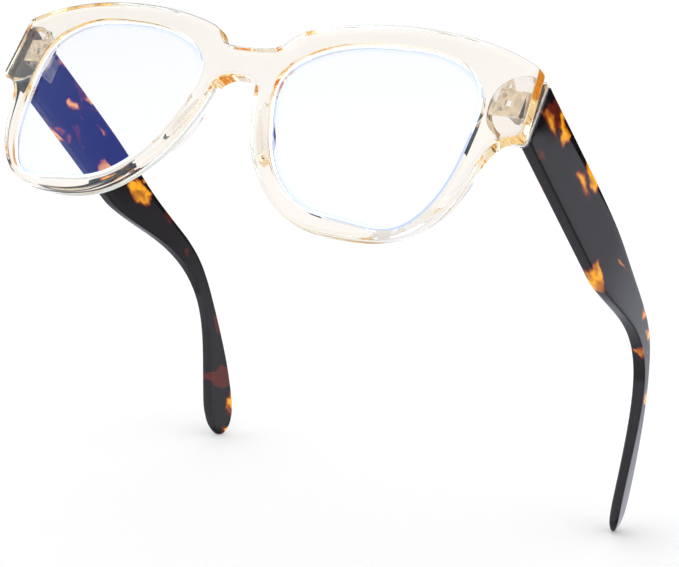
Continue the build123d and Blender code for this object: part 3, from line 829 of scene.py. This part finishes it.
def temple_edges(s):
    """Top and bottom edges of a temple in side view, as (Y, Z), station by station from the hinge to the
    apex of the tip: a straight taper, a smooth curve over the ear bend, and the tip's arc shared
    between the two edges."""
    start_y, top_z, low_z = BLOCK_BACK + BUTT_GAP, s["top"], s["top"] - s["height"]
    bend_at = np.array([start_y + s["bend_at"], top_z - s["bend_drop"]])
    deep_y = start_y + s["deep_at"]
    deep_top = top_z - np.tan(DEEP_SLOPE) * s["deep_at"]
    tip = bend_at + (s["tip_back"], -s["tip_drop"])
    top = np.array([(deep_y, deep_top), bend_at + (-21.5, 9.2), bend_at + (-3.5, 3.2), bend_at + (8.0, -6.4),
                    bend_at + (19.2, -17.8), tip + (3.4, 3.0)])
    low = np.array([(deep_y, deep_top - s["deep_height"]), bend_at + (-25.5, 1.4), bend_at + (-11.0, 0.6),
                    bend_at + (1.4, -4.6), bend_at + (12.4, -19.3), tip + (-4.2, -1.2)])
    cap = arc_through(top[-1], tip + (2.4, -4.0), low[-1], 49)
    half = len(cap) // 2
    top_line = np.vstack([straight((start_y, top_z), top[0], 30), spline(top, 26)])
    low_line = np.vstack([straight((start_y, low_z), low[0], 30), spline(low, 26)])
    top_line = np.vstack([soften(top_line[:70], 7.0), top_line[70:], cap[1:half + 1]])
    low_line = np.vstack([soften(low_line, 1.2), cap[:half - 1:-1][1:]])
    middle, across = (top_line + low_line) / 2, (top_line - low_line) / 2
    before = len(middle) - half
    middle[before:] = np.linspace(middle[before - 1], cap[half], half + 1)[1:]
    across[before:] = across[before - 1]
    narrowing = np.clip(1 - distance_left(middle) / 10.5, 0, 1)
    across *= np.sqrt(1 - narrowing**2.2)[:, None]
    return middle + across, middle - across


def distance_left(line):
    """How far each station of a line is from the line's end, along it."""
    step = np.linalg.norm(np.diff(line, axis=0), axis=1)
    return np.append(np.cumsum(step[::-1])[::-1], 0.0)


def temple_plan(s, y, outward, inner_x):
    """X of a temple's face a distance outward of its inner face, at Y: a straight run that splays a
    little, then an arc that curves in round the head."""
    splay, radius, lead_in = np.radians(0.6), s["hug_radius"], 2.0
    heading = np.array([np.sin(splay), np.cos(splay)])
    start = np.array([inner_x, BLOCK_BACK + BUTT_GAP - lead_in])
    knee = start + heading * (s["hug_at"] + lead_in)
    centre = knee + radius * np.array([-heading[1], heading[0]])
    line = start[0] + (y - start[1]) * np.tan(splay) + outward / np.cos(splay)
    reach = radius + outward
    arc = centre[0] + np.sqrt(np.maximum(reach**2 - (y - centre[1]) ** 2, 0))
    return np.where(y < knee[1] - heading[0] * outward, line, arc)


def temple_rings(temple, front):
    """A rounded rectangle carried along the temple.  Its height runs from the top edge to the bottom
    edge, its width across the sheet; both close to a point at the apex of the tip.  Also gives how far up
    each point lies, from 0 at the bottom edge to 1 at the top."""
    top, low = temple_edges(temple)
    height = np.linalg.norm(low - top, axis=1)
    left = distance_left((top + low) / 2)
    filed = temple["thickness"] - temple["tip_thickness"]
    thick = temple["thickness"] - filed * smooth_step(left, 45.0, 12.0)
    thick *= np.sqrt(1 - np.clip(1 - left / 7.0, 0, 1) ** 3)
    softer = temple["tip_round"] - temple["edge_round"]
    soft = temple["edge_round"] + softer * smooth_step(left, 45.0, 10.0)
    radius = np.minimum(soft, 0.49 * np.minimum(height, thick))
    quarter_turn = np.linspace(0, np.pi / 2, 7)
    faces = np.linspace(0, 1, 9)[1:-1]
    edges = np.linspace(0, 1, 4)[1:-1]
    ring = []                        # (share of height, share of width, rounding along height, along width)
    ring += [(0, 0, -np.sin(t), -np.cos(t)) for t in quarter_turn] + [(0, w, -1, 0) for w in edges]
    ring += [(0, 1, -np.cos(t), np.sin(t)) for t in quarter_turn] + [(h, 1, 0, 1) for h in faces]
    ring += [(1, 1, np.sin(t), np.cos(t)) for t in quarter_turn] + [(1, w, 1, 0) for w in edges[::-1]]
    ring += [(1, 0, np.cos(t), -np.sin(t)) for t in quarter_turn] + [(h, 0, 0, -1) for h in faces[::-1]]
    share_h, share_w, round_h, round_w = np.array(ring).T[:, None, :]
    down = radius[:, None] * (1 + round_h) + share_h * (height - 2 * radius)[:, None]
    across = radius[:, None] * (1 + round_w) + share_w * (thick - 2 * radius)[:, None]
    across += (temple["thickness"] - thick)[:, None] / 2
    along = down / np.maximum(height, 1e-9)[:, None]
    side = top[:, None] + (low - top)[:, None] * along[..., None]
    inner_x = front["width"] / 2 - temple["thickness"] + FLUSH_GAP
    x = temple_plan(temple, side[..., 0], across * (1 - FLUSH_GAP / temple["thickness"]), inner_x)
    rings = np.concatenate([x[..., None], side], -1)
    rings[-1] = rings[-1].mean(0)
    butt, middle = rings[0], rings[0].mean(0)
    inset = 0.3 * (middle - butt) / np.linalg.norm(middle - butt, axis=1)[:, None]
    lead = [middle + (butt + inset - middle) * share for share in (0, 0.5, 1)]
    rings[0] += (0, 0.3, 0)
    rise = np.vstack([1 - along[:1]] * 4 + [1 - along])
    return np.concatenate([lead, [butt + 0.3 * inset + (0, 0.08, 0)], rings]), rise


class GLASSES_OT_hinges(bpy.types.Operator):
    """Breaks the edges of the hinge leaves, screws, pins and anchor loops and plates them"""
    bl_idname = "glasses.hinges"
    bl_label = "Hinges"

    def execute(self, context):
        props = context.scene.glasses_hinge
        plated = metal_material("Gold plated leaf", props.leaf, 0.10, 0.22)
        steel = metal_material("Turned steel", props.steel, 0.14, 0.25)
        parts = [("front_hinge", "front_leaf", plated, "hinge_metal", "front"),
                 ("hinge_anchor", "anchor_loop", plated, "hinge_metal", "front"),
                 ("leaf_pins", "leaf_rivets", steel, "hinge_metal", "front"),
                 ("hinge_screw", "barrel_screw", steel, "screw_steel", "front"),
                 ("temple_hinge", "temple_leaf", plated, "hinge_metal", None)]
        for side in SIDES:
            for source, name, material, slot, body in parts:
                piece = broken_edges(f"{source}_{side}", f"{name}_{side}", props.edge_round)
                finish_piece(piece, material, body or f"{side}_temple", slot, f"{source}_{side}")
        wire = metal_material("Drawn core wire", props.wire, 0.22, 0.2)
        for side in SIDES:
            core = frame["nodes"][f"core_wire_{side}"]
            core.data.materials.clear()
            core.data.materials.append(wire)
        return {"FINISHED"}


def broken_edges(source, name, width):
    """A copy of a CAD node with its loose triangles joined, flat faces made whole and edges broken."""
    mesh = frame["nodes"][source].data.copy()
    mesh.name = name
    work = bmesh.new()
    work.from_mesh(mesh)
    bmesh.ops.remove_doubles(work, verts=work.verts, dist=BONDED)
    bmesh.ops.dissolve_limit(work, angle_limit=np.radians(1.0), verts=work.verts, edges=work.edges)
    bmesh.ops.recalc_face_normals(work, faces=work.faces)
    work.to_mesh(mesh)
    work.free()
    piece = bpy.data.objects.new(name, mesh)
    bpy.context.scene.collection.objects.link(piece)
    mesh.shade_smooth()
    mesh.set_sharp_from_angle(angle=np.radians(35.0))
    edge = piece.modifiers.new("Broken edges", "BEVEL")
    edge.width, edge.segments, edge.limit_method = width, 2, "ANGLE"
    edge.angle_limit = np.radians(40.0)
    edge.use_clamp_overlap = True
    return piece


# ---------------------------------------------------------------- studio
CAMERA_AT = Vector((0.2751, -0.3484, -0.1674))
CAMERA_AHEAD = Vector((-0.5675, 0.7244, 0.3914))
CAMERA_UP = Vector((-0.1464, -0.5566, 0.8178))
LEANING_FLOOR = Vector((0.0, -0.720, 0.694))
BLACK_CARD = (0.026, -0.585, 0.811)   # gloss that faces above this plane is black
LIGHT_TURNS = 32                      # light runs far along inside clear acetate before it leaves


class GLASSES_OT_studio(bpy.types.Operator):
    """Sets up the pale floors, the soft light and the camera"""
    bl_idname = "glasses.studio"
    bl_label = "Studio"

    def execute(self, context):
        props = context.scene.glasses_stage
        flat = Vector((0, 0, 1))
        tips = [v.co for side in SIDES for v in frame["nodes"][f"temple_{side}"].data.vertices]
        rest = min(LEANING_FLOOR.dot(co) for co in tips)
        for name, normal, height in (("floor_flat", flat, 0.0), ("floor_leaning", LEANING_FLOOR, rest)):
            material = floor_material(name, tuple(props.floor), only_seen=normal is flat)
            floor_grid(name, normal, height, material)
        camera = bpy.data.objects.new("camera", bpy.data.cameras.new("camera"))
        context.scene.collection.objects.link(camera)
        back = -CAMERA_AHEAD.normalized()
        right = CAMERA_UP.cross(back).normalized()
        turned = Matrix((right, back.cross(right), back)).transposed().to_4x4()
        camera.matrix_world = Matrix.Translation(CAMERA_AT) @ turned
        camera.data.lens, camera.data.sensor_width = props.lens, 36.0
        camera.data.clip_start, camera.data.clip_end = 0.01, 20.0
        context.scene.camera = camera
        softbox("softbox_over", Vector((-0.25, -0.15, 0.75)), Vector((0, 0, 0.02)), 0.6, props.softbox)
        surround(context.scene, props.surround)
        context.scene.view_settings.view_transform = "Standard"
        context.scene.cycles.max_bounces = context.scene.cycles.transmission_bounces = LIGHT_TURNS
        context.scene.cycles.glossy_bounces = LIGHT_TURNS
        return {"FINISHED"}


def floor_grid(name, normal, height, material, cells=8, reach=3.0):
    """A square floor: a grid of points on the plane with that normal at that height along it."""
    normal = normal.normalized()
    along = Vector((1, 0, 0))
    across = normal.cross(along)
    steps = np.linspace(-reach, reach, cells + 1)
    u, v = (axis.ravel()[:, None] for axis in np.meshgrid(steps, steps, indexing="ij"))
    points = np.array(normal * height) + u * np.array(along) + v * np.array(across)
    index = np.arange((cells + 1) ** 2).reshape(cells + 1, cells + 1)
    faces = np.stack([index[:-1, :-1], index[1:, :-1], index[1:, 1:], index[:-1, 1:]], -1).reshape(-1, 4)
    mesh = bpy.data.meshes.new(name)
    mesh.from_pydata(points, [], faces.tolist())
    mesh.materials.append(material)
    floor = bpy.data.objects.new(name, mesh)
    bpy.context.scene.collection.objects.link(floor)
    return floor


def floor_material(name, base, only_seen):
    """Matt pale board, which is clear from below so that it never hides the glasses.  One that is only
    seen neither lights nor shades anything else."""
    material = bpy.data.materials.new(name)
    material.use_nodes = True
    tree = material.node_tree
    shader = tree.nodes["Principled BSDF"]
    shader.inputs["Roughness"].default_value = 0.9
    shader.inputs["Specular IOR Level"].default_value = 0.1
    shader.inputs["Emission Color"].default_value = (1, 1, 1, 1)
    shader.inputs["Emission Strength"].default_value = 0.085
    tree.links.new(tone(tree, base, 0.995, 4.0), shader.inputs["Base Color"])
    clear = node(tree, "ShaderNodeBsdfTransparent")
    hidden = node(tree, "ShaderNodeNewGeometry").outputs["Backfacing"]
    if only_seen:
        ray = node(tree, "ShaderNodeLightPath").outputs
        seen = maths(tree, "MAXIMUM", ray["Is Camera Ray"], ray["Is Transmission Ray"])
        hidden = maths(tree, "MAXIMUM", hidden, maths(tree, "SUBTRACT", 1.0, seen))
    else:
        hidden = maths(tree, "MAXIMUM", hidden, mirrored(tree))
    both = node(tree, "ShaderNodeMixShader", {0: hidden, 1: shader.outputs[0], 2: clear.outputs[0]})
    tree.links.new(both.outputs[0], tree.nodes["Material Output"].inputs["Surface"])
    return material


def softbox(name, place, aim, size, power):
    """A round area light at a place, turned to what it lights."""
    light = bpy.data.lights.new(name, "AREA")
    light.shape, light.size, light.energy = "DISK", size, power
    lamp = bpy.data.objects.new(name, light)
    lamp.location = place
    lamp.rotation_euler = (aim - place).to_track_quat("-Z", "Y").to_euler()
    bpy.context.scene.collection.objects.link(lamp)


def mirrored(tree):
    """One for a ray that has just been mirrored off the outside of something, nought for any other."""
    ray = node(tree, "ShaderNodeLightPath").outputs
    outside = maths(tree, "SUBTRACT", 1.0, ray["Is Transmission Ray"])
    return maths(tree, "MULTIPLY", ray["Is Glossy Ray"], outside)


def surround(scene, strength):
    """White surround.  Seen directly or by matt surfaces it is plain white.  Through glass it is dimmer
    on the viewer's side, which outlines clear pieces.  Mirrored in gloss it is even and blue on the
    viewer's side, and behind the glasses it is grey, darker to the side and from below."""
    world = bpy.data.worlds.new("surround")
    scene.world = world
    world.use_nodes = True
    tree = world.node_tree
    back = tree.nodes["Background"]
    direction = node(tree, "ShaderNodeTexCoord").outputs["Generated"]
    parts = node(tree, "ShaderNodeSeparateXYZ", {0: direction}).outputs
    across = maths(tree, "DIVIDE", parts["X"], maths(tree, "MAXIMUM", parts["Y"], 0.01))
    behind = between(tree, across, 0.35, 0.62, 1.0, 0.72)
    side = between(tree, parts["Z"], 0.36, 0.40, 0.45, 0.10)
    behind = mix_value(tree, between(tree, across, 0.80, 0.95), behind, side)
    behind = maths(tree, "ADD", behind, between(tree, across, 1.3, 2.4, 0.0, 0.6))
    behind = maths(tree, "MULTIPLY", behind, between(tree, parts["Z"], -0.20, 0.0, 0.5, 1.0))
    rim = node(tree, "ShaderNodeVectorMath", {0: direction, 1: BLACK_CARD}, operation="DOT_PRODUCT")
    card = between(tree, rim.outputs["Value"], -0.004, 0.004, 1.0, 0.03)
    card = maths(tree, "MAXIMUM", card, between(tree, across, 0.76, 0.84))
    behind = maths(tree, "MULTIPLY", behind, card)
    gloss = mix_value(tree, between(tree, parts["Y"], 0.0, 0.12), 0.95, behind)
    mirror = mirrored(tree)
    facing = node(tree, "ShaderNodeVectorMath", {0: direction, 1: tuple((-CAMERA_AHEAD).normalized())},
                  operation="DOT_PRODUCT").outputs["Value"]
    through = between(tree, facing, 0.70, 0.97, 1.0, 0.5)
    refracted = node(tree, "ShaderNodeLightPath").outputs["Is Transmission Ray"]
    level = mix_value(tree, mirror, mix_value(tree, refracted, 1.0, through), gloss)
    above = between(tree, parts["Z"], -0.15, 0.05)
    ahead = maths(tree, "MULTIPLY", between(tree, parts["Y"], 0.12, 0.0), above)
    hue = mix_colour(tree, ahead, (0.92, 0.96, 1.06), (0.40, 0.72, 1.05))
    shade = mix_colour(tree, mirror, (1.0, 1.0, 1.0), hue)
    tree.links.new(shade, back.inputs["Color"])
    tree.links.new(maths(tree, "MULTIPLY", level, strength), back.inputs["Strength"])


# ---------------------------------------------------------------- panel and registration
class GLASSES_PT_panel(bpy.types.Panel):
    """Lists the steps that build the glasses"""
    bl_idname = "GLASSES_PT_panel"
    bl_label = "Glasses"
    bl_space_type = "VIEW_3D"
    bl_region_type = "UI"
    bl_category = "Glasses"

    def draw(self, context):
        for operator in OPERATORS:
            self.layout.operator(operator.bl_idname)


PROPERTY_GROUPS = {"glasses_front": GlassesFront, "glasses_lens": GlassesLens, "glasses_pad": GlassesPad,
                   "glasses_block": GlassesBlock, "glasses_temple": GlassesTemple,
                   "glasses_hinge": GlassesHinge, "glasses_stage": GlassesStage}
OPERATORS = [GLASSES_OT_front, GLASSES_OT_lenses, GLASSES_OT_nose_pads, GLASSES_OT_end_blocks,
             GLASSES_OT_temples, GLASSES_OT_hinges, GLASSES_OT_studio]


def register():
    for cls in [*PROPERTY_GROUPS.values(), *OPERATORS, GLASSES_PT_panel]:
        bpy.utils.register_class(cls)
    for name, cls in PROPERTY_GROUPS.items():
        setattr(bpy.types.Scene, name, PointerProperty(type=cls))


def unregister():
    for name in PROPERTY_GROUPS:
        delattr(bpy.types.Scene, name)
    for cls in reversed([*PROPERTY_GROUPS.values(), *OPERATORS, GLASSES_PT_panel]):
        bpy.utils.unregister_class(cls)


def main():
    register()
    for step in OPERATORS:
        group, name = step.bl_idname.split(".")
        getattr(getattr(bpy.ops, group), name)()


if __name__ == "__main__":
    main()
